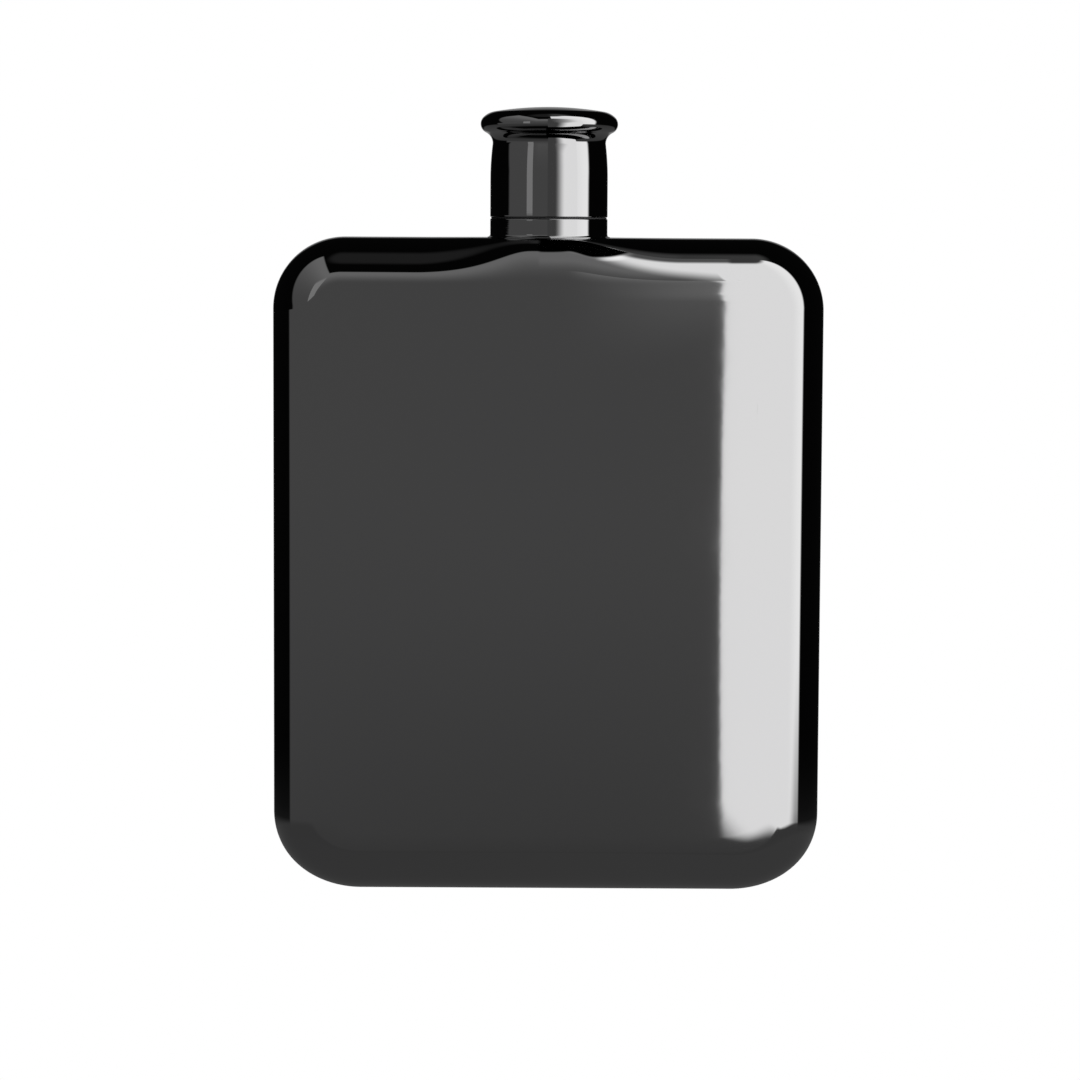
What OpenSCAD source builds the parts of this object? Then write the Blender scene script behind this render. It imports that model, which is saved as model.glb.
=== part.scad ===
// Hip flask with a screw cap. Millimetres, +Z up, the front faces -Y.
// The origin is the middle of the flat base. The neck's axis is the Z axis.

/* [Body] */
// Width of the body
body_w = 92; // [84:1:100]
// Height of the body, without the neck
body_h = 109.2; // [96:0.2:120]
// Depth of the body, front to back
body_d = 26; // [25:0.5:28]
// Radius of the top corners, seen from the front
top_corner = 12; // [11:0.2:14]
// Width of the base corners, which are quarter ellipses
base_corner_w = 15; // [13:0.5:17]
// Height of the base corners
base_corner_h = 12.5; // [12:0.5:14]
// How far the rounded edge reaches in over the face
edge_in = 7.6; // [6:0.2:8.4]
// How far each face bulges out at its middle
crown = 0.4; // [0.3:0.1:0.9]
// Thickness of the drawn steel
wall = 0.6; // [0.5:0.05:0.7]
// Depth of the flat band that the flask stands on
base_band = 9; // [6:0.5:12]
// Depth of the flat seat under the neck
seat_band = 19.4; // [18.8:0.2:19.8]

/* [Neck] */
// Diameter of the pouring bore
bore_d = 12; // [11:0.1:12.4]
// Diameter of the neck under its thread
neck_d = 14.2; // [14:0.1:14.3]
// Diameter over the neck's thread
thread_d = 15.6; // [15.4:0.1:15.7]
// Height of the neck above the collar
neck_h = 9.6; // [9.2:0.1:9.8]
// Diameter of the collar and of the cap's sleeve
sleeve_d = 19.6; // [19.4:0.1:19.8]
// Height of the collar
collar_h = 3.15; // [2.8:0.05:3.6]

/* [Cap] */
// Height of the cap
cap_h = 18.25; // [17.9:0.05:18.6]
// Diameter over the rolled rim
rim_d = 22.9; // [22.4:0.1:23.4]
// Rise of the thread for one turn
pitch = 3; // [2.9:0.05:3.1]

/* [Hidden] */
$fn = 96;

polished = [0.2, 0.2, 0.21];
weld_steel = [0.5, 0.49, 0.48];
moulding = [0.1, 0.1, 0.1];
silicone = [0.85, 0.85, 0.82];

hair = 0.02;                    // gap between pieces that only touch
seam = 0.25;                    // visible gap under the cap
neck_z = body_h + collar_h;     // top of the collar
lip_z = neck_z + neck_h;        // lip of the neck
cap_z = neck_z + seam;          // lower edge of the cap
bead_w = 1.2;                   // inner root bead of the seam weld: its width and height
bead_h = 0.5;
spigot = 1.3;                   // length of neck below the wall, inside the body
weld_r = neck_d / 2 + 1.2;      // reach of the fillet weld around the neck

// ---- The drawn body ------------------------------------------------------

rim_half = 0.8;                 // half of the straight band around the seam
edge_half = body_d / 2 - crown; // half depth where the rounded edge ends
seat_from = 3;                  // the seat is full out to here, and is gone by seat_to
seat_to = 22;
corner_steps = 8;               // facets of a corner, of the rounded edge and of the straight sides
edge_steps = 8;
top_steps = 28;
side_steps = 8;
base_steps = 10;
shrink = [0.12, 0.32, 0.58, 0.82];  // rings on the crowned face

function smooth(a, b, v) = let (t = min(max((v - a) / (b - a), 0), 1)) t * t * (3 - 2 * t);

// The outline is a ring of stations, each [x, z, outward normal x, outward normal z].
// A corner is a quarter ellipse of width w and height h. right and up are 1 or -1.
function corner(right, up, w, h) = [
    for (i = [0:corner_steps - 1])
        let (
            a = (right > 0 ? (up > 0 ? 0 : 270) : (up > 0 ? 90 : 180)) + 90 * i / corner_steps,
            x = right * (body_w / 2 - w),
            z = up > 0 ? body_h - h : h,
            size = norm([cos(a) / w, sin(a) / h]))
        [x + w * cos(a), z + h * sin(a), cos(a) / w / size, sin(a) / h / size]];
function side(x0, z0, x1, z1, out, n) = [
    for (i = [0:n - 1]) [x0 + (x1 - x0) * i / n, z0 + (z1 - z0) * i / n, cos(out), sin(out)]];

half_w = body_w / 2;
top_x = half_w - top_corner;
base_x = half_w - base_corner_w;
side_top = body_h - top_corner;
side_base = base_corner_h;
stations = concat(
    corner(1, 1, top_corner, top_corner), side(top_x, body_h, -top_x, body_h, 90, top_steps),
    corner(-1, 1, top_corner, top_corner), side(-half_w, side_top, -half_w, side_base, 180, side_steps),
    corner(-1, -1, base_corner_w, base_corner_h), side(-base_x, 0, base_x, 0, 270, base_steps),
    corner(1, -1, base_corner_w, base_corner_h), side(half_w, side_base, half_w, side_top, 0, side_steps));
count = len(stations);

function seat_share(s) = s[1] > body_h / 2 ? 1 - smooth(seat_from, seat_to, abs(s[0])) : 0;
function band(s) = rim_half
    + (seat_band / 2 - rim_half) * seat_share(s)
    + (base_band / 2 - rim_half) * smooth(0, 1, -s[3]);
function bulge(x, z) = crown * (1 - pow(2 * x / body_w, 2)) * (1 - pow(2 * z / body_h - 1, 2));

// A point of the front half's surface: a station moved in by step, at half depth y.
function place(s, step, y) = let (x = s[0] - step * s[2], z = s[1] - step * s[3])
    [x, -(y + (y > 0 ? bulge(x, z) : 0)), z];
// The rounded edge is a quarter ellipse. The inner skin is inset by t.
function edge_point(s, t, a) =
    place(s, t + (edge_in - t) * (1 - cos(a)), band(s) + (edge_half - t - band(s)) * sin(a));
function face_point(s, t, share) = let (
        e = place(s, edge_in, 0),
        x = e[0] * (1 - share),
        z = body_h / 2 + (e[2] - body_h / 2) * (1 - share))
    [x, -(edge_half - t + bulge(x, z)), z];
function skin(t) = concat(
    [for (s = stations) place(s, t, 0)],
    [for (k = [0:edge_steps]) for (s = stations) edge_point(s, t, 90 * k / edge_steps)],
    [for (share = shrink) for (s = stations) face_point(s, t, share)],
    [[0, -(edge_half - t + crown), body_h / 2]]);

// Room for the neck through the top wall.
module neck_way(r) {
    depth = 5;
    translate([0, 0, body_h - depth]) cylinder(r = r, h = 2 * depth);
}

module half_shell() {
    rings = edge_steps + 2 + len(shrink);
    middle = rings * count;
    size = middle + 1;
    next = [for (i = [0:count - 1]) (i + 1) % count];
    around = [for (i = [0:count - 1]) i];
    outer = [for (k = [0:rings - 2]) for (i = around)
        let (a = k * count + i, b = k * count + next[i]) each
        [[a, a + count, b + count], [a, b + count, b]]];
    cap = [for (i = around) [middle - count + i, middle, middle - count + next[i]]];
    inner = [for (f = concat(outer, cap)) [f[0] + size, f[2] + size, f[1] + size]];
    rim = [for (i = around) each
        [[i, next[i], next[i] + size], [i, next[i] + size, i + size]]];
    difference() {
        polyhedron(concat(skin(0), skin(wall)), concat(outer, cap, inner, rim));
        neck_way(neck_d / 2);
    }
}

module front_shell() {
    color(polished) half_shell();
}

module back_shell() {
    color(polished) rotate([0, 0, 180]) half_shell();
}

// The root bead follows the inside of the seam and stops short of the neck's weld.
module seam_weld() {
    module outline(step) {
        polygon([for (s = stations) [s[0] - step * s[2], s[1] - step * s[3]]]);
    }
    color(weld_steel) difference() {
        rotate([90, 0, 0]) linear_extrude(bead_w, center = true) difference() {
            outline(wall);
            outline(wall + bead_h);
        }
        neck_way(weld_r + 0.4);
    }
}

// ---- The neck ------------------------------------------------------------

// A helical ridge: foot radius, crest radius, height of its middle at angle 0, and turns.
// Its foot is sunk into the wall, and both ends run out over a third of a turn.
module ridge(foot, crest, z0, from, turns) {
    steps = 30;
    foot_w = 1.6;
    crest_w = 0.8;
    sink = 0.25;
    stub = 0.12;                // share of the height left at each end
    out = crest > foot ? 1 : -1;
    last = round(turns * steps);
    points = [for (i = [0:last])
        let (
            a = from + 360 * i / steps,
            z = z0 + pitch * a / 360,
            grown = stub + (1 - stub) * min(1, 3 * i / steps, 3 * (last - i) / steps),
            r = foot + (crest - foot) * grown,
            w = (foot_w + (crest_w - foot_w) * grown) / 2,
            f = foot - out * sink)
        each [[f * cos(a), f * sin(a), z - foot_w / 2], [r * cos(a), r * sin(a), z - w],
              [r * cos(a), r * sin(a), z + w], [f * cos(a), f * sin(a), z + foot_w / 2]]];
    sides = [for (i = [0:last - 1]) for (j = [0:3])
        let (a = 4 * i + j, b = 4 * i + (j + 1) % 4) each [[a, b, b + 4], [a, b + 4, a + 4]]];
    ends = [[0, 3, 2], [0, 2, 1],
            [4 * last, 4 * last + 1, 4 * last + 2], [4 * last, 4 * last + 2, 4 * last + 3]];
    faces = concat(sides, ends);
    polyhedron(points, out < 0 ? [for (f = faces) [f[2], f[1], f[0]]] : faces);
}

thread_z = neck_z + 2.2;  // middle of the neck's thread at angle 0

module neck_tube() {
    foot_z = body_h - wall - spigot;
    chamfer = 0.3;
    color(polished) union() {
        rotate_extrude() polygon([
            [bore_d / 2, foot_z], [neck_d / 2, foot_z],
            [neck_d / 2, lip_z - chamfer], [neck_d / 2 - chamfer, lip_z], [bore_d / 2, lip_z]]);
        ridge(neck_d / 2, thread_d / 2, thread_z, 0, 2);
    }
}

module neck_weld() {
    top = body_h - wall;
    leg = 1;                    // depth of the fillet, and the blunt edge of its feet
    toe = 0.3;
    color(weld_steel) rotate_extrude() polygon([
        [neck_d / 2, top], [neck_d / 2, top - leg], [neck_d / 2 + toe, top - leg],
        [weld_r, top - toe], [weld_r, top]]);
}

// Points along an arc of the profile, [radius, height].
function arc(r, z, size, from, to, n) = [
    for (i = [0:n]) let (a = from + (to - from) * i / n) [r + size * cos(a), z + size * sin(a)]];

module neck_collar() {
    flare = 0.45;
    edge = 0.2;
    color(polished) rotate_extrude() polygon(concat(
        [[neck_d / 2, body_h], [sleeve_d / 2 + flare, body_h]],
        arc(sleeve_d / 2 + flare, body_h + flare + 0.1, flare, 270, 180, 4),
        arc(sleeve_d / 2 - edge, neck_z - edge, edge, 0, 90, 3),
        [[neck_d / 2, neck_z]]));
}

// ---- The cap -------------------------------------------------------------

cap_top = cap_z + cap_h;
bead_r = 1.58;                   // rolled bead at the rim
bead_z = cap_top - 2.82;
shoulder_r = 3.4;                // rounds the bead over into the domed top
fillet_r = 2;                    // hollow under the bead
waist_d = sleeve_d - 0.74;
insert_d = sleeve_d - 2;         // bore of the shell, and the liner pressed into it
landing = 0.005;                 // gap to the collar, where the liner's foot lands when the cap is tight
insert_z = neck_z + landing;     // the dark foot fills the seam under the shell
foot_d = sleeve_d - 0.3;
ceiling_z = cap_top - 2;
cavity_d = 16.2;                 // threaded cavity of the liner
web_z = lip_z + 1.1;             // underside of the liner's web, over the gasket
web_t = 1.2;
female_d = 14.8;                 // crest of the liner's thread

module cap_shell() {
    bead_x = rim_d / 2 - bead_r;
    fillet_x = waist_d / 2 + fillet_r;
    fillet_z = bead_z - sqrt(pow(bead_r + fillet_r, 2) - pow(fillet_x - bead_x, 2));
    meet = atan2(bead_z - fillet_z, bead_x - fillet_x);
    drop = shoulder_r - bead_r;
    dome_a = 80.5;
    shoulder_x = bead_x - drop * cos(45);
    shoulder_z = bead_z - drop * sin(45);
    dome_r = (shoulder_x + shoulder_r * cos(dome_a)) / cos(dome_a);
    dome_z = shoulder_z + (shoulder_r - dome_r) * sin(dome_a);
    waist_run = 6;              // length over which the sleeve narrows, as a parabola
    waist_steps = 6;
    waist_from = fillet_z - waist_run;
    edge = 0.15;
    lead = 0.3;
    outside = concat(
        [[sleeve_d / 2 - edge, cap_z], [sleeve_d / 2, cap_z + edge]],
        [for (i = [0:waist_steps - 1]) let (t = i / waist_steps)
            [sleeve_d / 2 - (sleeve_d - waist_d) / 2 * t * t, waist_from + waist_run * t]],
        arc(fillet_x, fillet_z, fillet_r, 180, meet, 6),
        arc(bead_x, bead_z, bead_r, meet - 180, 45, 12),
        arc(shoulder_x, shoulder_z, shoulder_r, 45, dome_a, 6),
        arc(0, dome_z, dome_r, dome_a, 90, 8));
    color(polished) rotate_extrude() polygon(concat(
        outside,
        [[0, ceiling_z], [insert_d / 2, ceiling_z], [insert_d / 2, cap_z + lead],
         [insert_d / 2 + lead, cap_z]]));
}

// A moulded plug: threaded cavity below the web, ribs above it, and a thin foot under the shell.
module cap_insert() {
    rib_t = 1;
    ring_t = 0.9;
    color(moulding) union() {
        rotate_extrude() polygon([
            [cavity_d / 2, insert_z], [foot_d / 2, insert_z], [foot_d / 2, cap_z - hair],
            [insert_d / 2, cap_z - hair], [insert_d / 2, ceiling_z],
            [insert_d / 2 - ring_t, ceiling_z], [insert_d / 2 - ring_t, web_z + web_t],
            [0, web_z + web_t], [0, web_z], [cavity_d / 2, web_z]]);
        for (turn = [0, 90])
            rotate([0, 0, turn]) translate([-insert_d / 2 + ring_t / 2, -rib_t / 2, web_z + web_t / 2])
                cube([insert_d - ring_t, rib_t, ceiling_z - web_z - web_t / 2]);
        ridge(cavity_d / 2, female_d / 2, thread_z - pitch / 2, 90, 1.5);
    }
}

module cap_gasket() {
    edge = 0.2;
    gasket_r = cavity_d / 2 - 0.2;
    color(silicone) rotate_extrude() polygon([
        [0, lip_z + hair], [gasket_r - edge, lip_z + hair], [gasket_r, lip_z + hair + edge],
        [gasket_r, web_z - hair - edge], [gasket_r - edge, web_z - hair], [0, web_z - hair]]);
}

front_shell();
back_shell();
seam_weld();
neck_tube();
neck_weld();
neck_collar();
cap_shell();
cap_insert();
cap_gasket();
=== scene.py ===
"""Hip flask with a screw cap: mirror-polished gunmetal in a plain white studio.

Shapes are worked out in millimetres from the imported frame's boxes and a few named sizes.
"""

import math

import bpy
import numpy as np
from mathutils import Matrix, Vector


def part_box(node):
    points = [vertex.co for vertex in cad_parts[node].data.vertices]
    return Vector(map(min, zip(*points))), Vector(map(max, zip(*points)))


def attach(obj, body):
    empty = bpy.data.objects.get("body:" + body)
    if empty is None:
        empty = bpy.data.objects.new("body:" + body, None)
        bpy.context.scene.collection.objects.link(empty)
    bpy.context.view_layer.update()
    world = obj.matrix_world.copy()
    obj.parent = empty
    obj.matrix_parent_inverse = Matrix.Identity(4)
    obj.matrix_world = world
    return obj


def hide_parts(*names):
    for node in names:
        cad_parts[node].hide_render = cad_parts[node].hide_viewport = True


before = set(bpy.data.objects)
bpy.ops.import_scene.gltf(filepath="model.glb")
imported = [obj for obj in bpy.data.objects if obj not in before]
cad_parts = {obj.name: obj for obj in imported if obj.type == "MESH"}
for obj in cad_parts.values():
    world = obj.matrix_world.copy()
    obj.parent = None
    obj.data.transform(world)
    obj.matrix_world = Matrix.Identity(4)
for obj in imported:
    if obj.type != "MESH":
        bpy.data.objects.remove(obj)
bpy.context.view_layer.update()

MM = 0.001
TAU = 2 * math.pi
scene = bpy.context.scene


def node_box(node):
    """A CAD node's lowest and highest corners in millimetres."""
    low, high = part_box(node)
    return np.array(low) / MM, np.array(high) / MM


# ---- Camera -------------------------------------------------------------------------

CAMERA_DISTANCE = 0.6       # in front of the flask's middle
CAMERA_HEIGHT = 0.115
CAMERA_SIDE = -0.0012       # the flask stands a little right of the picture's middle
AIM_HEIGHT = 0.0584
PICTURE_WIDTH = 0.182       # what the picture spans at the flask
CAMERA_ROLL = 0.3           # degrees: the flask leans a hair to the right
SENSOR = 36.0               # millimetres


def look_at(obj, target):
    obj.rotation_euler = (Vector(target) - obj.location).to_track_quat("-Z", "Y").to_euler()


def make_camera():
    data = bpy.data.cameras.new("camera")
    camera = bpy.data.objects.new("camera", data)
    scene.collection.objects.link(camera)
    camera.location = (CAMERA_SIDE, -CAMERA_DISTANCE, CAMERA_HEIGHT)
    look_at(camera, (CAMERA_SIDE, 0, AIM_HEIGHT))
    camera.rotation_euler.rotate_axis("Z", math.radians(CAMERA_ROLL))
    reach = math.hypot(CAMERA_DISTANCE, CAMERA_HEIGHT - AIM_HEIGHT)
    data.sensor_width = SENSOR
    data.lens = SENSOR * reach / PICTURE_WIDTH
    bpy.context.scene.camera = camera


make_camera()

# ---- Node helpers -------------------------------------------------------------------


class Wire:
    """A shader socket that can be used in sums, so that node maths reads as maths."""

    def __init__(self, tree, socket):
        self.tree = tree
        self.socket = socket

    def math(self, operation, *others):
        node = self.tree.nodes.new("ShaderNodeMath")
        node.operation = operation
        for slot, value in zip(node.inputs, (self, *others)):
            put(self.tree, slot, value)
        return Wire(self.tree, node.outputs[0])

    def __add__(self, other):
        return self.math("ADD", other)

    def __sub__(self, other):
        return self.math("SUBTRACT", other)

    def __mul__(self, other):
        return self.math("MULTIPLY", other)

    def __truediv__(self, other):
        return self.math("DIVIDE", other)

    __radd__ = __add__
    __rmul__ = __mul__

    def __rsub__(self, other):
        return (self * -1) + other

    def __rtruediv__(self, other):
        return self.math("POWER", -1) * other

    def above(self, edge, soft):
        """0 below edge - soft, 1 above edge + soft, and smooth between."""
        node = self.tree.nodes.new("ShaderNodeMapRange")
        node.interpolation_type = "SMOOTHSTEP"
        put(self.tree, node.inputs["Value"], self)
        put(self.tree, node.inputs["From Min"], edge - soft)
        put(self.tree, node.inputs["From Max"], edge + soft)
        return Wire(self.tree, node.outputs[0])

    def below(self, edge, soft):
        return 1 - self.above(edge, soft)


def put(tree, slot, value):
    """Links a Wire to a socket, or sets a plain number on it."""
    if isinstance(value, Wire):
        tree.links.new(value.socket, slot)
    else:
        slot.default_value = value


def blend_to(low, high, share):
    return low + (high - low) * share


# ---- Studio -------------------------------------------------------------------------
# The world is the studio as the polished metal sees it. Azimuth is 0 straight in front
# of the flask and grows to its right, elevation is 0 at the horizon, both in degrees.

SHEET = 2.08                # radiance of the white diffuser, front right
SHEET_FAR = 0.25            # what its far right end adds
WALL = 0.15                 # grey wall, front and left
WALL_FOOT = 0.095           # the wall low down
WALL_GLOW = 0.2             # what the wall gains below the black ceiling
EDGE_GLOW = 0.17            # spill of the diffuser on the wall beside it
CEILING_FRONT = 1.05        # the black ceiling's reach forward, as a share of its height
CEILING_SIDE = 0.42         # and its reach to the left
FAR_FLOOR = 0.003           # dark room floor
REAR_FLOOR = 0.09           # grey floor behind, and what it gains straight below
REAR_NEAR = 0.03
BEHIND = 0.3                # grey wall far behind
OVERHEAD = (0.03, 0.08)     # grey straight overhead, and what it gains to the right
WHITE = 1.0                 # what the camera sees around the flask
LEFT_END, RIGHT_END = -97.0, 84.0   # azimuths where the wall and the diffuser end


def diffuser(az, el):
    """How much of the white diffuser shows in a direction, with edges that soften higher up."""
    bow = (1 - ((el + 5.9) / 6.5).math("POWER", 2)).math("MAXIMUM", 0.0) * 1.25
    left = 2.9 + bow + el.above(0.0, 0.8) * 0.33 + el.above(42.0, 28.0) * 0.5
    left_blur = 0.04 + el.above(32.0, 30.0) * 0.9
    right = RIGHT_END - 1 + el.math("MAXIMUM", 0.0) * 0.2
    bottom = -11.25 + az.below(3.4, 0.9) * 1.3 - az.above(15.0, 10.0) * 2.5 + az.above(55.0, 25.0) * 4.5
    bottom_blur = 0.6 + az.above(25.0, 20.0) * 1.8
    return (
        az.above(left, left_blur)
        * az.below(right, 3.0)
        * el.below(79.0, 4.0)
        * el.above(bottom, bottom_blur)
    )


def studio(az, el, x, y, z):
    """Radiance of the studio in a direction."""
    up = z.math("MAXIMUM", 0.001)
    front = up * CEILING_FRONT / (y * -1).math("MAXIMUM", 0.001)    # 1 at the ceiling's front edge
    side = up * CEILING_SIDE / (x * -1).math("MAXIMUM", 0.001)      # 1 at its left edge
    near = front.math("MINIMUM", side)
    wall = WALL_FOOT + el.above(-10.0, 6.0) * (WALL - WALL_FOOT) + near.above(0.42, 0.37) * WALL_GLOW
    wall = wall + az.above(1.8, 1.6) * el.above(-0.4, 1.4) * EDGE_GLOW
    ceiling = near.above(1.0, 0.05)
    left = LEFT_END + el.above(-0.7, 0.5) * 12.0 - (el - 3).math("MAXIMUM", 0.0) * 0.7
    grey = wall * (1 - ceiling) * az.above(left, 3.0) * az.below(RIGHT_END, 3.0) * el.above(-36.0, 12.0)
    behind = az.math("ABSOLUTE").above(168.0, 5.0) * el.math("ABSOLUTE").below(14.0, 6.0)
    away = az.below(LEFT_END, 3.0) + az.above(RIGHT_END, 3.0)
    rear_floor = away * el.below(-11.5, 3.0) * (REAR_FLOOR + el.below(-30.0, 16.0) * REAR_NEAR)
    overhead = el.above(73.0, 6.0) * (OVERHEAD[0] + x.above(0.02, 0.06) * OVERHEAD[1])
    room = grey + FAR_FLOOR + behind * BEHIND + rear_floor + overhead
    light = SHEET + az.above(60.0, 20.0) * SHEET_FAR
    return blend_to(room, light, diffuser(az, el))


def make_world():
    world = bpy.data.worlds.new("studio")
    scene.world = world
    world.use_nodes = True
    tree = world.node_tree
    tree.nodes.clear()
    direction = tree.nodes.new("ShaderNodeTexCoord").outputs["Generated"]
    split = tree.nodes.new("ShaderNodeSeparateXYZ")
    tree.links.new(direction, split.inputs[0])
    x, y, z = (Wire(tree, split.outputs[i]) for i in range(3))
    degrees = 360 / TAU
    az = x.math("ARCTAN2", y * -1) * degrees
    el = z.math("ARCSINE") * degrees
    seen = tree.nodes.new("ShaderNodeBackground")
    put(tree, seen.inputs["Strength"], studio(az, el, x, y, z))
    seen.inputs["Color"].default_value = (1, 1, 1, 1)
    white = tree.nodes.new("ShaderNodeBackground")
    white.inputs["Color"].default_value = (1, 1, 1, 1)
    white.inputs["Strength"].default_value = WHITE
    path = tree.nodes.new("ShaderNodeLightPath")
    mix = tree.nodes.new("ShaderNodeMixShader")
    tree.links.new(path.outputs["Is Camera Ray"], mix.inputs[0])
    tree.links.new(seen.outputs[0], mix.inputs[1])
    tree.links.new(white.outputs[0], mix.inputs[2])
    out = tree.nodes.new("ShaderNodeOutputWorld")
    tree.links.new(mix.outputs[0], out.inputs[0])


def glow_material(name, strength):
    """A plain light of one strength."""
    material = bpy.data.materials.new(name)
    material.use_nodes = True
    tree = material.node_tree
    tree.nodes.clear()
    light = tree.nodes.new("ShaderNodeEmission")
    light.inputs["Strength"].default_value = strength
    out = tree.nodes.new("ShaderNodeOutputMaterial")
    tree.links.new(light.outputs[0], out.inputs[0])
    return material


FLOOR_RADIUS, FLOOR_Z = 3.0, -0.0002


def make_floor():
    """The white floor, which only the camera sees."""
    bpy.ops.mesh.primitive_circle_add(
        vertices=96, radius=FLOOR_RADIUS, fill_type="NGON", location=(0, 0, FLOOR_Z))
    floor = bpy.context.object
    floor.name = "floor"
    floor.data.materials.append(glow_material("floor_white", WHITE))
    floor.visible_glossy = False
    floor.visible_diffuse = False
    floor.visible_transmission = False
    floor.visible_shadow = False


def reflected_only(obj):
    """A studio card that the polished metal sees and the camera doesn't."""
    obj.visible_camera = False
    obj.visible_diffuse = False
    obj.visible_transmission = False
    obj.visible_shadow = False


def card(name, corners, look):
    """A flat four-cornered card that shines on one side.

    look(x, y, z) gives its light and how solid it is at a point in metres.
    """
    mesh = bpy.data.meshes.new(name)
    mesh.from_pydata(corners, [], [(0, 1, 2, 3)])
    obj = bpy.data.objects.new(name, mesh)
    scene.collection.objects.link(obj)
    material = bpy.data.materials.new(name)
    material.use_nodes = True
    tree = material.node_tree
    tree.nodes.clear()
    split = tree.nodes.new("ShaderNodeSeparateXYZ")
    tree.links.new(tree.nodes.new("ShaderNodeTexCoord").outputs["Object"], split.inputs[0])
    back = Wire(tree, tree.nodes.new("ShaderNodeNewGeometry").outputs["Backfacing"])
    radiance, solid = look(*(Wire(tree, split.outputs[i]) for i in range(3)))
    light = tree.nodes.new("ShaderNodeEmission")
    put(tree, light.inputs["Strength"], radiance * (1 - back))
    mix = tree.nodes.new("ShaderNodeMixShader")
    put(tree, mix.inputs[0], solid)
    tree.links.new(tree.nodes.new("ShaderNodeBsdfTransparent").outputs[0], mix.inputs[1])
    tree.links.new(light.outputs[0], mix.inputs[2])
    out = tree.nodes.new("ShaderNodeOutputMaterial")
    tree.links.new(mix.outputs[0], out.inputs[0])
    mesh.materials.append(material)
    reflected_only(obj)


def upright(x0, x1, y, z0, z1):
    """Corners of a card that stands in front of the flask and shines back at it."""
    return [(x1, y, z0), (x0, y, z0), (x0, y, z1), (x1, y, z1)]


def level(x0, x1, y0, y1, z):
    """Corners of a flat card that shines upwards."""
    return [(x0, y0, z), (x1, y0, z), (x1, y1, z), (x0, y1, z)]


TABLE = 0.104               # grey of the small table top
TABLE_REACH = (0.085, 0.045)  # its half width and half depth
TABLE_Z = -0.0004
CAP_GREY = 0.125            # grey that the front of the cap reflects
CAP_CARD = (-0.001, 0.03, 0.1094, 0.15)             # x and z limits of the upright cards
CAP_CARD_Y = -0.025
STREAK = 0.42               # light of the thin streak in the cap, at z = 0
STREAK_CARD = (-0.112, -0.073, 0.1119, 0.175)
STREAK_CARD_Y = -0.12
SHOULDER_Z = 0.1093         # level of the card over the shoulder, right of the neck
SHOULDER_CARD = (-0.0022, 0.034, -0.034, -0.0103)   # its x and y limits


def table_light(x, y, z):
    wide, deep = TABLE_REACH
    reach = ((x / wide).math("POWER", 2) + (y / deep).math("POWER", 2)).math("SQRT")
    return TABLE + x * 0.1, reach.below(0.9, 0.1)


def cap_light(x, y, z):
    """Grey in the middle of the cap, growing into the white of the diffuser to its right."""
    high = z.above(0.13, 0.004)
    white = x.above(0.0082 + high * 0.0043, 0.0042 + high * 0.0083)
    return CAP_GREY + white * (SHEET - CAP_GREY), z.below(0.146, 0.003)


def streak_light(x, y, z):
    low, high = STREAK_CARD[2:]
    return STREAK + z * 0.5, z.above(low + 0.0004, 0.0004) * z.below(high - 0.01, 0.01)


def shoulder_light(x, y, z):
    """What the rounded top edge reflects between the neck and the diffuser.

    Grey that brightens as it climbs and as it nears the diffuser, dark close to the neck, with one
    thin streak beside it.
    """
    rise = 0.0055 / (y * -1 - 0.0118).math("MAXIMUM", 0.0001)
    steep = rise.math("ARCTANGENT") * (360 / TAU)
    glow = WALL + (rise * CEILING_FRONT).above(0.42, 0.37) * WALL_GLOW
    lean = x + y * 0.12
    climb = ((steep - 25.0) / 45.0 + (x - 0.0185) / 0.02 + lean.above(0.0268, 0.001) * 2).above(0.5, 0.5)
    reach = (x * x + y * y).math("SQRT")
    dark = 0.0145 + x.above(0.0057, 0.0028) * 0.0027
    streak = reach.below(0.0186, 0.0005) * x.above(0.0095, 0.0012) * x.below(0.0125, 0.002)
    light = (blend_to(glow, SHEET, climb) + streak * 0.9) * (reach - dark).above(0.0, 0.0004)
    light = light * (1 - x.above(0.012, 0.003) * y.above(-0.0118, 0.0006) * 0.9)
    return light, x.above(-0.0016, 0.0004) * lean.below(0.0285, 0.0006)


def make_cards():
    """Small cards close to the flask: they shape what its foot, its shoulder and its cap reflect."""
    wide, deep = TABLE_REACH
    card("table_card", level(-wide, wide, -deep, deep, TABLE_Z), table_light)
    x0, x1, z0, z1 = CAP_CARD
    card("cap_card", upright(x0, x1, CAP_CARD_Y, z0, z1), cap_light)
    x0, x1, z0, z1 = STREAK_CARD
    card("streak_card", upright(x0, x1, STREAK_CARD_Y, z0, z1), streak_light)
    card("shoulder_card", level(*SHOULDER_CARD, SHOULDER_Z)[::-1], shoulder_light)


scene.view_settings.view_transform = "Standard"
make_world()
make_floor()
make_cards()

# ---- Materials ----------------------------------------------------------------------

GUNMETAL = 0.33             # reflectance of the dark plating


def new_material(name):
    """A material, its node tree and its Principled shader."""
    material = bpy.data.materials.new(name)
    material.use_nodes = True
    return material, material.node_tree, material.node_tree.nodes["Principled BSDF"]


def object_point(tree, stretch=(1, 1, 1)):
    """The surface point in metres, scaled along each axis."""
    point = tree.nodes.new("ShaderNodeTexCoord").outputs["Object"]
    scaled = tree.nodes.new("ShaderNodeMapping")
    scaled.inputs["Scale"].default_value = stretch
    tree.links.new(point, scaled.inputs["Vector"])
    return scaled.outputs["Vector"]


def noise(tree, point, scale, detail=3.0, roughness=0.5):
    node = tree.nodes.new("ShaderNodeTexNoise")
    node.inputs["Scale"].default_value = scale
    node.inputs["Detail"].default_value = detail
    node.inputs["Roughness"].default_value = roughness
    tree.links.new(point, node.inputs["Vector"])
    return Wire(tree, node.outputs["Fac"])


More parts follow.
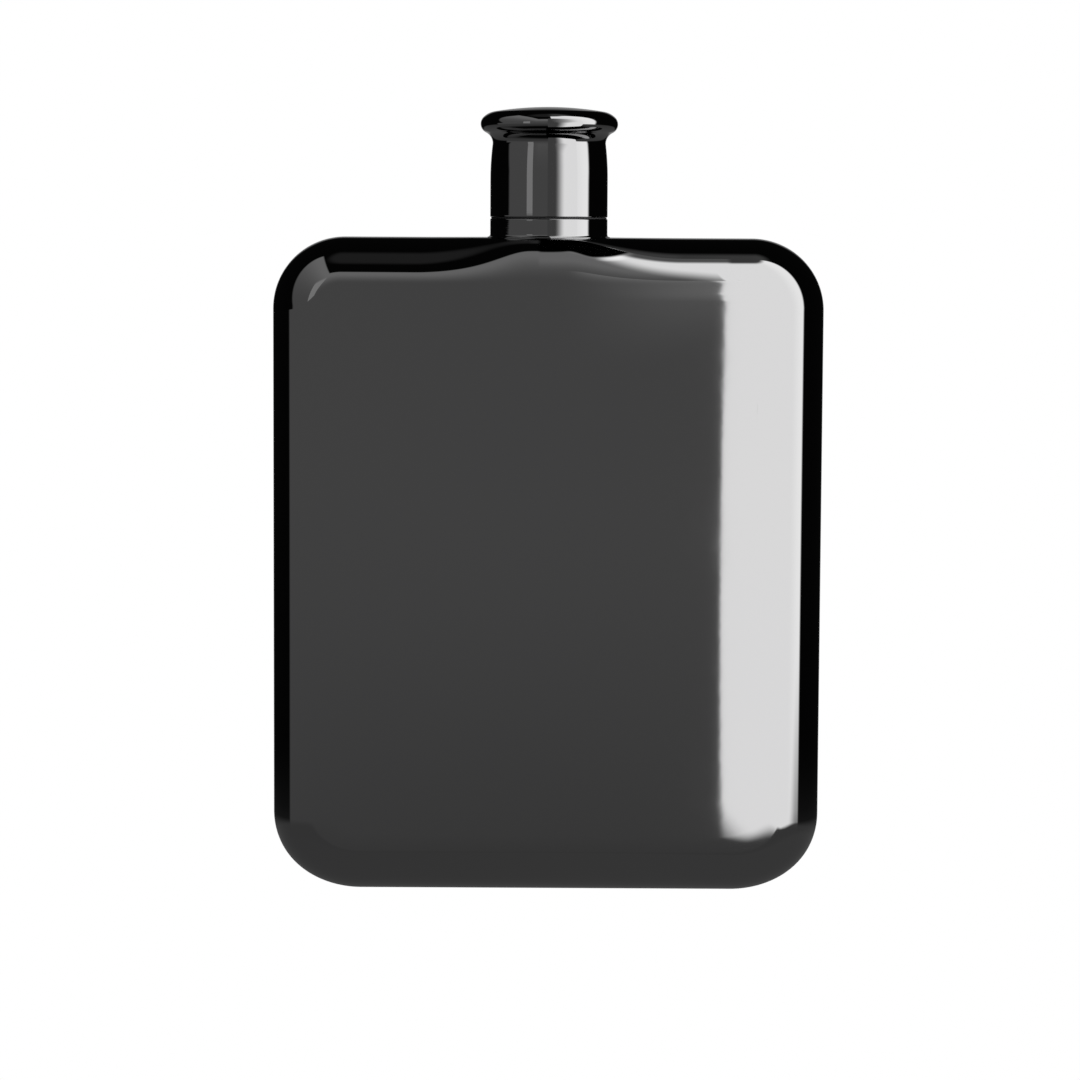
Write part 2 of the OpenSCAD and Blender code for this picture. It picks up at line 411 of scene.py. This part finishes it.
def ramp(tree, value, stops):
    """Colours along a 0 to 1 value: stops are (place, (r, g, b))."""
    node = tree.nodes.new("ShaderNodeValToRGB")
    put(tree, node.inputs[0], value)
    elements = node.color_ramp.elements
    while len(elements) < len(stops):
        elements.new(0.5)
    for element, (place, colour) in zip(elements, stops):
        element.position = place
        element.color = (*colour, 1)
    return node.outputs["Color"]


def bump(tree, shader, layers):
    """Stacks bumps: each layer is (height, distance in metres)."""
    normal = None
    for height, distance in layers:
        node = tree.nodes.new("ShaderNodeBump")
        node.inputs["Strength"].default_value = 1.0
        node.inputs["Distance"].default_value = distance
        put(tree, node.inputs["Height"], height)
        if normal is not None:
            tree.links.new(normal, node.inputs["Normal"])
        normal = node.outputs["Normal"]
    tree.links.new(normal, shader.inputs["Normal"])


def scratches(tree, angle, scale, share):
    """Fine straight wiping scratches: 1 on a scratch, 0 elsewhere."""
    point = tree.nodes.new("ShaderNodeTexCoord").outputs["Object"]
    turned = tree.nodes.new("ShaderNodeMapping")
    turned.inputs["Rotation"].default_value = (0, angle, 0.3 * angle)
    turned.inputs["Scale"].default_value = (scale, scale, scale * 0.02)
    tree.links.new(point, turned.inputs["Vector"])
    return noise(tree, turned.outputs["Vector"], 1.0, 2.0).above(1 - share, 0.02)


def gunmetal(name, turned):
    """Dark plating over polished steel. Turned pieces have faint lathe lines around the axis."""
    material, tree, shader = new_material(name)
    shader.inputs["Metallic"].default_value = 1.0
    point = object_point(tree)
    smudge = noise(tree, point, 38.0, 4.0, 0.6)
    cloud = noise(tree, point, 9.0, 2.0)
    tint = ramp(tree, cloud, [
        (0.3, (GUNMETAL * 0.97, GUNMETAL * 0.97, GUNMETAL * 0.985)),
        (0.7, (GUNMETAL * 1.02, GUNMETAL * 1.015, GUNMETAL * 1.01)),
    ])
    tree.links.new(tint, shader.inputs["Base Color"])
    wipes = scratches(tree, 0.5, 5200.0, 0.2) + scratches(tree, -0.9, 4300.0, 0.18)
    rough = 0.018 + smudge.above(0.62, 0.14) * 0.012 + wipes * 0.012
    put(tree, shader.inputs["Roughness"], rough)
    peel = noise(tree, point, 240.0, 2.0)
    waves = noise(tree, point, 26.0, 1.0)
    layers = [(waves, 0.0000035), (peel, 0.0000004), (wipes, 0.00000015)]
    if turned:
        rings = noise(tree, object_point(tree, (30.0, 30.0, 9000.0)), 1.0, 2.0)
        layers.append((rings, 0.0000006))
    bump(tree, shader, layers)
    return material


def weld_steel():
    """A weld bead: matt steel with straw and blue heat tint and a scaly surface."""
    material, tree, shader = new_material("weld_steel")
    shader.inputs["Metallic"].default_value = 1.0
    point = object_point(tree)
    tint = ramp(tree, noise(tree, point, 160.0, 3.0), [
        (0.32, (0.42, 0.41, 0.4)),
        (0.5, (0.47, 0.4, 0.28)),
        (0.62, (0.3, 0.27, 0.36)),
        (0.75, (0.22, 0.25, 0.33)),
    ])
    tree.links.new(tint, shader.inputs["Base Color"])
    grain = noise(tree, point, 2600.0, 4.0, 0.65)
    put(tree, shader.inputs["Roughness"], 0.34 + grain * 0.22)
    bump(tree, shader, [(grain, 0.00002)])
    return material


def liner_plastic():
    """Black moulded plastic with a fine spark-eroded grain."""
    material, tree, shader = new_material("liner_plastic")
    point = object_point(tree)
    tint = ramp(tree, noise(tree, point, 90.0, 3.0), [
        (0.3, (0.018, 0.018, 0.019)),
        (0.7, (0.03, 0.03, 0.031)),
    ])
    tree.links.new(tint, shader.inputs["Base Color"])
    grain = noise(tree, point, 5200.0, 3.0, 0.6)
    put(tree, shader.inputs["Roughness"], 0.42 + grain * 0.16)
    bump(tree, shader, [(grain, 0.000008)])
    return material


def seal_silicone():
    """Milky silicone with a dusty bloom."""
    material, tree, shader = new_material("seal_silicone")
    shader.inputs["Subsurface Weight"].default_value = 0.25
    shader.inputs["Subsurface Radius"].default_value = (0.0012, 0.001, 0.0008)
    shader.inputs["Subsurface Scale"].default_value = 1.0
    point = object_point(tree)
    tint = ramp(tree, noise(tree, point, 220.0, 4.0), [
        (0.3, (0.66, 0.65, 0.6)),
        (0.7, (0.76, 0.75, 0.71)),
    ])
    tree.links.new(tint, shader.inputs["Base Color"])
    dust = noise(tree, point, 1900.0, 4.0, 0.7)
    put(tree, shader.inputs["Roughness"], 0.4 + dust * 0.25)
    bump(tree, shader, [(dust, 0.000012)])
    return material


MATERIALS = {
    "gunmetal_body": gunmetal("gunmetal_body", False),
    "gunmetal_turned": gunmetal("gunmetal_turned", True),
    "weld_steel": weld_steel(),
    "liner_plastic": liner_plastic(),
    "seal_silicone": seal_silicone(),
}

# ---- Mesh helpers -------------------------------------------------------------------

SHARP = math.radians(32)


def piece(name, points, faces, slot, body):
    """A piece from points in millimetres. It takes the CAD node of the same name's place."""
    mesh = bpy.data.meshes.new(name)
    mesh.from_pydata([tuple(p) for p in np.asarray(points) * MM], [], faces)
    mesh.polygons.foreach_set("use_smooth", [True] * len(mesh.polygons))
    mesh.set_sharp_from_angle(angle=SHARP)
    mesh.materials.append(MATERIALS[slot])
    obj = bpy.data.objects.new("polished_" + name if "gunmetal" in slot else "made_" + name, mesh)
    scene.collection.objects.link(obj)
    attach(obj, body)
    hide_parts(name)
    return obj


def band_faces(first, second, count):
    """Quads between two rings of points that start at these indices."""
    return [
        (first + i, first + (i + 1) % count, second + (i + 1) % count, second + i)
        for i in range(count)
    ]


def lathe(profile, segments=256, radius_shift=None):
    """Turns a closed outline of [radius, height] points around the Z axis.

    A run of points on the axis becomes one point. radius_shift(angle, point number) moves a point
    in or out.
    """
    points, rings = [], []
    angles = np.arange(segments) * TAU / segments
    for number, (radius, height) in enumerate(profile):
        if radius < 1e-6:
            rings.append((len(points), 1))
            points.append((0, 0, height))
            continue
        shift = 0 if radius_shift is None else radius_shift(angles, number)
        rings.append((len(points), segments))
        at = radius + shift
        for x, y in zip(at * np.cos(angles), at * np.sin(angles)):
            points.append((x, y, height))
    faces = []
    for (a, na), (b, nb) in zip(rings, rings[1:] + rings[:1]):
        if na > 1 and nb > 1:
            faces += band_faces(a, b, segments)
        elif nb == 1 and na > 1:
            faces += [(a + i, a + (i + 1) % segments, b) for i in range(segments)]
        elif na == 1 and nb > 1:
            faces += [(b + (i + 1) % segments, b + i, a) for i in range(segments)]
    return points, faces


def arc(radius, height, size, start, end, steps):
    """Points along an arc of a profile, angles in degrees."""
    turns = np.radians(np.linspace(start, end, steps + 1))
    return [(radius + size * math.cos(a), height + size * math.sin(a)) for a in turns]


# ---- The drawn body -----------------------------------------------------------------

body_low, body_high = node_box("front_shell")
HALF_W = body_high[0]
BODY_H = body_high[2]
HALF_D = -body_low[1]
TOP_CORNER = 12.0
BASE_CORNER = (15.0, 12.5)  # width and height
EDGE_IN = 7.6               # how far the rounded edge reaches in over the face
CROWN = 0.4                 # how far the middle of the face stands proud
WALL_T = 0.6
RIM_HALF = 0.8              # half of the straight band around the seam,
SEAT_HALF = 9.7             # of the seat under the collar,
BASE_HALF = 4.5             # and of the flat base
SEAT_FROM, SEAT_TO = 3.0, 22.0      # the seat is full out to the first, and is gone by the second
EDGE_HALF = HALF_D - CROWN
SEAM_BREAK = 0.05           # broken edge that shows the seam as a hairline

OUTER_SKIN = (0, 30, 18)            # inset, and steps over the rounded edge and over the face
INNER_SKIN = (WALL_T, 12, 6)
CORNER_STEPS = 48
TOP_STEPS = 136
SIDE_STEPS = 44
BASE_STEPS = 44


def smooth(low, high, value):
    t = np.clip((value - low) / (high - low), 0, 1)
    return t * t * (3 - 2 * t)


def make_stations():
    """The outline seen from the front: rows of x, z and the outward normal."""
    rows = []

    def corner(right, up, width, height, start):
        for i in range(CORNER_STEPS):
            a = math.radians(start + 90 * i / CORNER_STEPS)
            normal = np.array([math.cos(a) / width, math.sin(a) / height])
            normal /= np.linalg.norm(normal)
            x = right * (HALF_W - width) + width * math.cos(a)
            z = (BODY_H - height if up > 0 else height) + height * math.sin(a)
            rows.append((x, z, *normal))

    def side(x0, z0, x1, z1, out, steps):
        for i in range(steps):
            t = i / steps
            rows.append((x0 + (x1 - x0) * t, z0 + (z1 - z0) * t, out[0], out[1]))

    top_x, base_x = HALF_W - TOP_CORNER, HALF_W - BASE_CORNER[0]
    side_top, side_base = BODY_H - TOP_CORNER, BASE_CORNER[1]
    corner(1, 1, TOP_CORNER, TOP_CORNER, 0)
    side(top_x, BODY_H, -top_x, BODY_H, (0, 1), TOP_STEPS)
    corner(-1, 1, TOP_CORNER, TOP_CORNER, 90)
    side(-HALF_W, side_top, -HALF_W, side_base, (-1, 0), SIDE_STEPS)
    corner(-1, -1, *BASE_CORNER, 180)
    side(-base_x, 0, base_x, 0, (0, -1), BASE_STEPS)
    corner(1, -1, *BASE_CORNER, 270)
    side(HALF_W, side_base, HALF_W, side_top, (1, 0), SIDE_STEPS)
    return np.array(rows)


STATIONS = make_stations()
seat_share = np.where(
    STATIONS[:, 1] > BODY_H / 2, 1 - smooth(SEAT_FROM, SEAT_TO, abs(STATIONS[:, 0])), 0)
BAND = (
    RIM_HALF
    + (SEAT_HALF - RIM_HALF) * seat_share
    + (BASE_HALF - RIM_HALF) * smooth(0, 1, -STATIONS[:, 3])
)


def bulge(x, z):
    """How far the crown stands out at a point of the face."""
    return CROWN * (1 - (x / HALF_W) ** 2) * (1 - (2 * z / BODY_H - 1) ** 2)


def ring_at(step, depth):
    """A ring of points: every station moved in by step, at this half depth."""
    x = STATIONS[:, 0] - step * STATIONS[:, 2]
    z = STATIONS[:, 1] - step * STATIONS[:, 3]
    proud = bulge(x, z) * smooth(0, RIM_HALF, depth)
    return np.stack([x, -(depth + proud), z], 1)


def skin(inset, edge_steps, face_steps):
    """Rings of one skin of the front half, from the seam to the middle of the face."""
    zeros = np.zeros(len(STATIONS))
    if inset:
        rings = [ring_at(inset, zeros)]
    else:
        rings = [ring_at(SEAM_BREAK, zeros), ring_at(0, zeros + SEAM_BREAK)]
    rings += [ring_at(inset, BAND * share) for share in (0.3, 0.9)]
    for k in range(edge_steps + 1):
        a = math.pi / 2 * k / edge_steps
        step = inset + (EDGE_IN - inset) * (1 - math.cos(a))
        rings.append(ring_at(step, BAND + (EDGE_HALF - inset - BAND) * math.sin(a)))
    inner = ring_at(EDGE_IN, zeros)
    for k in range(1, face_steps):
        keep = 1 - k / face_steps
        x = inner[:, 0] * keep
        z = BODY_H / 2 + (inner[:, 2] - BODY_H / 2) * keep
        rings.append(np.stack([x, -(EDGE_HALF - inset + bulge(x, z)), z], 1))
    return rings, (0, -(EDGE_HALF - inset + CROWN), BODY_H / 2)


def shell(name, turn):
    """One drawn half: outer skin, inner skin and the rim between them. The neck's hole is cut into it
    afterwards.
    """
    count = len(STATIONS)
    points, faces, starts = [], [], []
    for inset, edge_steps, face_steps in (OUTER_SKIN, INNER_SKIN):
        rings, middle = skin(inset, edge_steps, face_steps)
        start = len(points)
        starts.append(start)
        for ring in rings:
            points += list(ring)
        for k in range(len(rings) - 1):
            band = band_faces(start + k * count, start + (k + 1) * count, count)
            faces += band if inset else [f[::-1] for f in band]
        last = start + (len(rings) - 1) * count
        centre = len(points)
        points.append(middle)
        fan = [(last + i, last + (i + 1) % count, centre) for i in range(count)]
        faces += fan if inset else [f[::-1] for f in fan]
    faces += band_faces(starts[0], starts[1], count)
    points = np.array(points)
    if turn:
        points = points * np.array([-1, -1, 1])
    return piece(name, points, faces, "gunmetal_body", "flask")


def cut_neck_hole(obj, radius):
    """Cuts the round hole for the neck through the top of a shell."""
    bpy.ops.mesh.primitive_cylinder_add(
        vertices=128, radius=radius * MM, depth=10 * MM, location=(0, 0, BODY_H * MM))
    cutter = bpy.context.object
    cut = obj.modifiers.new("neck_hole", "BOOLEAN")
    cut.operation = "DIFFERENCE"
    cut.solver = "EXACT"
    cut.object = cutter
    depsgraph = bpy.context.evaluated_depsgraph_get()
    mesh = bpy.data.meshes.new_from_object(obj.evaluated_get(depsgraph))
    obj.modifiers.clear()
    obj.data = mesh
    bpy.data.objects.remove(cutter)


collar_low, collar_high = node_box("neck_collar")
neck_low, neck_high = node_box("neck_tube")
NECK_R = 7.1
SHELLS = [shell("front_shell", False), shell("back_shell", True)]
for half in SHELLS:
    cut_neck_hole(half, NECK_R)

# ---- Welds --------------------------------------------------------------------------

BEAD_W, BEAD_H = 1.2, 0.5
BEAD_STEP, RIPPLE = 0.3, 0.65       # sampling of the bead, and length of one of its ripples
WELD_LEG, WELD_DEPTH = 1.2, 1.0     # reach of the fillet under the wall and down the neck
WELD_R = NECK_R + WELD_LEG
SCALE_COUNT, SCALE_DEPTH = 44, 0.07


def seam_weld():
    """The root bead along the inside of the seam: a low rounded ridge with ripples."""
    x = STATIONS[:, 0] - WALL_T * STATIONS[:, 2]
    clear = (abs(x) > WELD_R + 0.5) | (STATIONS[:, 1] < BODY_H / 2)
    order = np.arange(len(STATIONS))
    first = np.argmax(~clear) + np.sum(~clear)
    order = np.concatenate([order[first:], order[:first]])
    path = STATIONS[order[: int(np.sum(clear))]]
    # sampled evenly along its length
    along = np.concatenate([[0], np.cumsum(np.hypot(*np.diff(path[:, :2], axis=0).T))])
    count = int(along[-1] / BEAD_STEP)
    even = np.linspace(0, along[-1], count)
    path = np.stack([np.interp(even, along, path[:, k]) for k in range(4)], 1)
    across = np.linspace(-1, 1, 9)
    points, faces = [], []
    for i, (px, pz, nx, nz) in enumerate(path):
        ripple = 0.8 + 0.2 * math.sin(i * TAU * BEAD_STEP / RIPPLE)
        for v in across:
            step = WALL_T + BEAD_H * ripple * math.sqrt(max(0, 1 - v * v)) + 0.001
            points.append((px - step * nx, v * BEAD_W / 2, pz - step * nz))
        points.append((px - WALL_T * nx, 0, pz - WALL_T * nz))
    size = len(across) + 1
    for i in range(len(path) - 1):
        faces += [f[::-1] for f in band_faces(i * size, (i + 1) * size, size)]
    faces.append(tuple(range(size)))
    faces.append(tuple(range((len(path) - 1) * size, len(path) * size))[::-1])
    piece("seam_weld", points, faces, "weld_steel", "flask")


def neck_weld():
    """The fillet weld under the wall around the neck, laid in overlapping scales."""
    top = BODY_H - WALL_T
    profile = [(NECK_R, top), (NECK_R, top - WELD_DEPTH)]
    for a in np.radians(np.linspace(90, 0, 9)):
        radius = max(WELD_R - WELD_LEG + WELD_LEG * math.cos(a), NECK_R + 0.05)
        profile.append((radius, top - WELD_DEPTH * math.sin(a)))

    def scales(angles, number):
        inside = 2 <= number < len(profile) - 1
        return SCALE_DEPTH * np.cos(angles * SCALE_COUNT + number * 0.5) - SCALE_DEPTH if inside else 0

    points, faces = lathe(profile, 352, scales)
    piece("neck_weld", points, faces, "weld_steel", "flask")


seam_weld()
neck_weld()

# ---- Neck and collar ----------------------------------------------------------------

BORE_R = 6.0
THREAD_R = 7.8              # crest of the neck's thread
PITCH = 3.0
CREST_HALF, FOOT_HALF = 0.4, 0.8    # half widths of the thread at its crest and foot
NECK_TURNS, LINER_TURNS = 2.0, 1.5


def thread_height(angle, z, z0, start, turns):
    """Share of the full thread height at an angle in radians and a height in millimetres.

    The thread runs out over a third of a turn at each end.
    """
    best = np.zeros(np.broadcast(angle, z).shape)
    for turn in range(-1, int(turns) + 2):
        travelled = (angle + TAU * turn - start) / TAU
        middle = z0 + PITCH * (angle + TAU * turn) / TAU
        grown = smooth(0, 1, np.minimum(np.minimum(3 * travelled, 3 * (turns - travelled)), 1))
        flank = np.clip((FOOT_HALF - abs(z - middle)) / (FOOT_HALF - CREST_HALF), 0, 1)
        best = np.maximum(best, smooth(0, 1, flank) * grown * (travelled >= 0) * (travelled <= turns))
    return best


def threaded(low, high, step, before, after, root, crest, z0, start, turns, segments):
    """A lathed outline whose stretch from low to high carries a thread."""
    heights = np.linspace(low, high, int(round(abs(high - low) / step)) + 1)
    stretch = [(root, z) for z in heights]
    profile = before + stretch + after
    offset = len(before)

    def shift(angles, number):
        if not offset <= number < offset + len(stretch):
            return 0
        share = thread_height(angles, stretch[number - offset][1], z0, start, turns)
        return (crest - root) * share

    return lathe(profile, segments, shift)


THREAD_Z = collar_high[2] + 2.2     # where the neck's thread starts


def neck_tube():
    """The turned spout: straight bore, rounded lip and the outside thread."""
    foot, lip = neck_low[2], neck_high[2]
    chamfer = 0.3
    before = [(BORE_R, lip - 0.12), (BORE_R, foot + 0.2), (BORE_R + 0.15, foot), (NECK_R - 0.15, foot)]
    before += [(NECK_R, foot + 0.15), (NECK_R, collar_high[2] + 0.2)]
    after = arc(NECK_R - chamfer, lip - chamfer, chamfer, 0, 90, 5) + [(BORE_R + 0.12, lip)]
    points, faces = threaded(
        collar_high[2] + 0.4, lip - chamfer - 0.2, 0.1, before, after,
        NECK_R, THREAD_R, THREAD_Z, 0.0, NECK_TURNS, 192)
    piece("neck_tube", points, faces, "gunmetal_turned", "flask")


SLEEVE_R = 9.8


def neck_collar():
    """The plain ring at the foot of the neck, flared where it meets the body."""
    flare, edge = 0.45, 0.2
    foot, top = collar_low[2], collar_high[2]
    profile = [(NECK_R, foot), (SLEEVE_R + flare, foot)]
    profile += arc(SLEEVE_R + flare, foot + flare + 0.1, flare, 270, 180, 10)
    profile += [(SLEEVE_R, foot + flare + 0.16), (SLEEVE_R, top - edge - 0.1)]
    profile += arc(SLEEVE_R - edge, top - edge, edge, 0, 90, 8)
    profile += [(NECK_R + 0.1, top), (NECK_R, top - 0.1)]
    points, faces = lathe(profile)
    piece("neck_collar", points, faces, "gunmetal_turned", "flask")


neck_tube()
neck_collar()

# ---- Cap ----------------------------------------------------------------------------

cap_low, cap_high = node_box("cap_shell")
insert_low, insert_high = node_box("cap_insert")
gasket_low, gasket_high = node_box("cap_gasket")
CAP_Z, CAP_TOP = cap_low[2], cap_high[2]
RIM_R = cap_high[0]
BEAD_R = 1.58
BEAD_DROP = 2.82            # depth of the bead's centre under the top
SHOULDER_R = 3.4
FILLET_R = 2.0
WAIST_R = SLEEVE_R - 0.37
INSERT_R = SLEEVE_R - 1.0
FOOT_R = insert_high[0]
CEILING_Z = insert_high[2]
DOME_START = 80.5
WAIST_RUN = 6.0             # length over which the sleeve narrows to its waist


def cap_outline():
    """The cap from its lower edge to the axis: sleeve, waist, rolled bead, shoulder and dome."""
    bead_x, bead_z = RIM_R - BEAD_R, CAP_TOP - BEAD_DROP
    fillet_x = WAIST_R + FILLET_R
    fillet_z = bead_z - math.sqrt((BEAD_R + FILLET_R) ** 2 - (fillet_x - bead_x) ** 2)
    meet = math.degrees(math.atan2(bead_z - fillet_z, bead_x - fillet_x))
    drop = (SHOULDER_R - BEAD_R) * math.cos(math.radians(45))
    shoulder_x, shoulder_z = bead_x - drop, bead_z - drop
    lean = math.radians(DOME_START)
    dome_r = (shoulder_x + SHOULDER_R * math.cos(lean)) / math.cos(lean)
    dome_z = shoulder_z + (SHOULDER_R - dome_r) * math.sin(lean)
    edge = 0.15
    waist_from = fillet_z - WAIST_RUN
    outline = arc(SLEEVE_R - edge, CAP_Z + edge, edge, -90, 0, 6)
    outline += [(SLEEVE_R, z) for z in np.linspace(CAP_Z + 2 * edge, waist_from - 0.3, 4)]
    for t in np.linspace(0, 1, 25)[:-1]:
        outline.append((SLEEVE_R - (SLEEVE_R - WAIST_R) * t * t, waist_from + WAIST_RUN * t))
    outline += arc(fillet_x, fillet_z, FILLET_R, 180, meet, 24)
    outline += arc(bead_x, bead_z, BEAD_R, meet - 180, 45, 44)[1:]
    outline += arc(shoulder_x, shoulder_z, SHOULDER_R, 45, DOME_START, 18)[1:]
    outline += arc(0, dome_z, dome_r, DOME_START, 90, 24)[1:-1]
    return outline + [(0, CAP_TOP)]


def cap_shell():
    """The polished cap, with a plain bore for the liner."""
    lead = 0.3
    inside = [(0, CEILING_Z), (INSERT_R - 0.1, CEILING_Z), (INSERT_R, CEILING_Z - 0.1)]
    inside += [(INSERT_R, CAP_Z + lead), (INSERT_R + lead, CAP_Z)]
    points, faces = lathe(cap_outline() + inside, 320)
    piece("cap_shell", points, faces, "gunmetal_turned", "cap")


CAVITY_R = 8.1              # threaded cavity of the liner,
FEMALE_R = 7.4              # and the crest of its thread
WEB_T = 1.2                 # thickness of the web,
RING_T = 0.9                # of the ring above it,
RIB_T = 1.0                 # and of the ribs
GAP = 0.02                  # between pieces that only touch


def cap_insert():
    """The moulded liner: threaded cavity, web, ribbed crown, and a thin foot under the shell's edge."""
    foot, over = insert_low[2], CAP_Z - GAP
    web = gasket_high[2] + GAP
    before = [(0, web), (CAVITY_R - 0.1, web)]
    edge = 0.05
    after = [(CAVITY_R, foot + 0.1), (CAVITY_R + 0.1, foot), (FOOT_R - edge, foot), (FOOT_R, foot + edge)]
    after += [(FOOT_R, over - edge), (FOOT_R - edge, over), (INSERT_R + edge, over), (INSERT_R, over + edge)]
    hollow = INSERT_R - RING_T
    after += [(INSERT_R, CEILING_Z - 0.1), (INSERT_R - 0.1, CEILING_Z), (hollow, CEILING_Z)]
    after += [(hollow, web + WEB_T + 0.2), (hollow - 0.2, web + WEB_T), (0, web + WEB_T)]
    points, faces = threaded(
        web - 0.1, foot + 0.3, 0.12, before, after,
        CAVITY_R, FEMALE_R, THREAD_Z - PITCH / 2, math.pi / 2, LINER_TURNS, 192)
    obj = piece("cap_insert", points, faces, "liner_plastic", "cap")
    add_ribs(obj, web + WEB_T - 0.05)


def add_ribs(obj, foot):
    """Joins the cross of ribs to the liner as part of the same moulding."""
    reach = INSERT_R - RING_T + 0.05
    half = RIB_T / 2
    outline = []
    for turn in range(4):
        c, s = round(math.cos(turn * TAU / 4)), round(math.sin(turn * TAU / 4))
        for x, y in ((half, -half), (reach, -half), (reach, half)):
            outline.append((x * c - y * s, x * s + y * c))
    count = len(outline)
    points = [(x, y, z) for z in (foot, CEILING_Z) for x, y in outline]
    faces = band_faces(0, count, count) + [tuple(range(count))[::-1], tuple(range(count, 2 * count))]
    mesh = bpy.data.meshes.new("ribs")
    mesh.from_pydata([tuple(np.array(p) * MM) for p in points], [], faces)
    ribs = bpy.data.objects.new("ribs", mesh)
    scene.collection.objects.link(ribs)
    union = obj.modifiers.new("ribs", "BOOLEAN")
    union.operation = "UNION"
    union.solver = "EXACT"
    union.object = ribs
    depsgraph = bpy.context.evaluated_depsgraph_get()
    obj.data = bpy.data.meshes.new_from_object(obj.evaluated_get(depsgraph))
    obj.modifiers.clear()
    obj.data.set_sharp_from_angle(angle=SHARP)
    bpy.data.objects.remove(ribs)


def cap_gasket():
    """The sealing disc, with the faint groove that the neck's lip leaves in it."""
    low, high, radius, edge = gasket_low[2], gasket_high[2], gasket_high[0], 0.2
    groove = 0.02
    profile = [(0, low), (BORE_R - 0.2, low), (BORE_R + 0.1, low + groove), (NECK_R - 0.4, low + groove)]
    profile += [(NECK_R - 0.1, low)] + arc(radius - edge, low + edge, edge, -90, 0, 6)
    profile += arc(radius - edge, high - edge, edge, 0, 90, 6) + [(0, high)]
    points, faces = lathe(profile, 192)
    piece("cap_gasket", points, faces, "seal_silicone", "seal")


cap_shell()
cap_insert()
cap_gasket()
